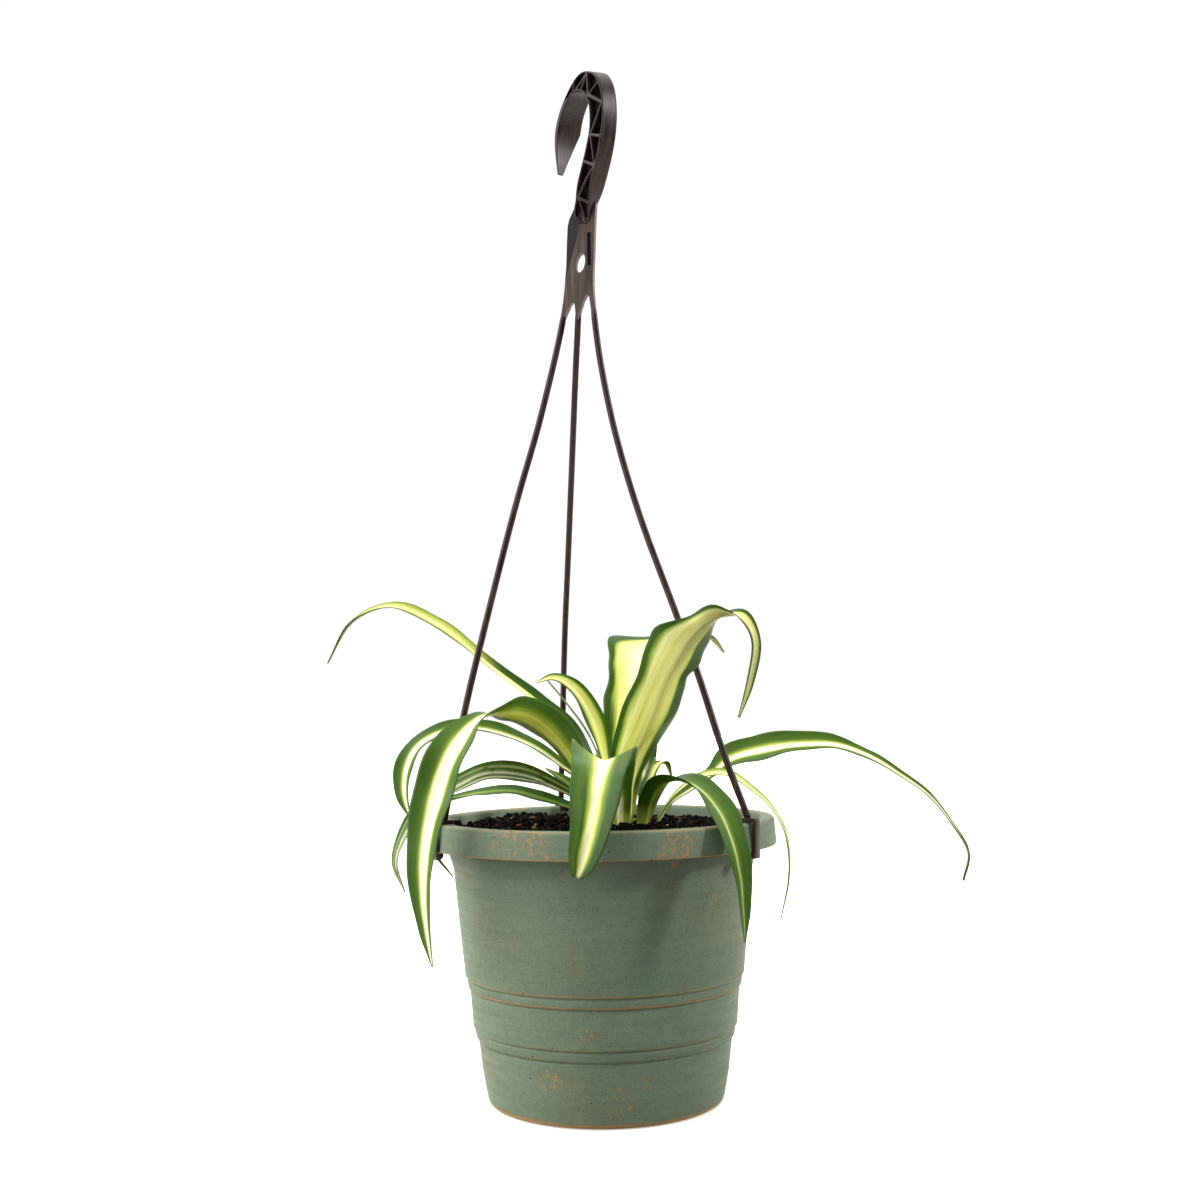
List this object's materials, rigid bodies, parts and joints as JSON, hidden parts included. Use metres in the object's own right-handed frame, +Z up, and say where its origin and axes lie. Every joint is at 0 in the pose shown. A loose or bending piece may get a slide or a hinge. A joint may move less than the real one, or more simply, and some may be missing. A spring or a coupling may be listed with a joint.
{
  "type": "potted spider plant",
  "caption": "Variegated spider plant with arching strap leaves in a round green hanging pot with a brown plastic clip-on hook hanger.",
  "frame": {"origin": "centre of the underside of the pot's base, on the surface that it stands on", "axes": "+Z up, -Y towards the front of the pot, +X to the right seen from the front"},
  "size_m": [0.2901, 0.1932, 0.461],
  "materials": {
    "pot_plastic": "matte, brushed look, rubbed edges",
    "hanger_plastic": "semi-gloss, moulded",
    "potting_mix": "rough, damp and loose",
    "leaf": "satin, cream stripe between green margins",
    "old_leaf": "satin, grey-green stripes",
    "leaf_base": "satin, pale"
  },
  "bodies": {
    "root": {"pot": "pot_plastic", "soil": "potting_mix", "crown": "leaf_base", "leaf_01_long_left": "leaf", "leaf_02_front_left": "leaf", "leaf_03_left_hook": "leaf", "leaf_04_grey_left": "old_leaf", "leaf_05_low_left": "leaf", "leaf_06_short_left": "leaf", "leaf_07_middle": "leaf", "leaf_08_thread": "leaf", "leaf_09_upright_back": "leaf", "leaf_10_tall_right": "leaf", "leaf_11_front": "leaf", "leaf_12_front_right": "leaf", "leaf_13_long_right": "leaf", "leaf_14_narrow_right": "leaf", "leaf_15_young_front": "leaf", "leaf_16_young_back": "leaf", "leaf_17_back": "leaf", "leaf_18_back_low": "leaf", "hanger": "hanger_plastic"}
  },
  "joints": []
}
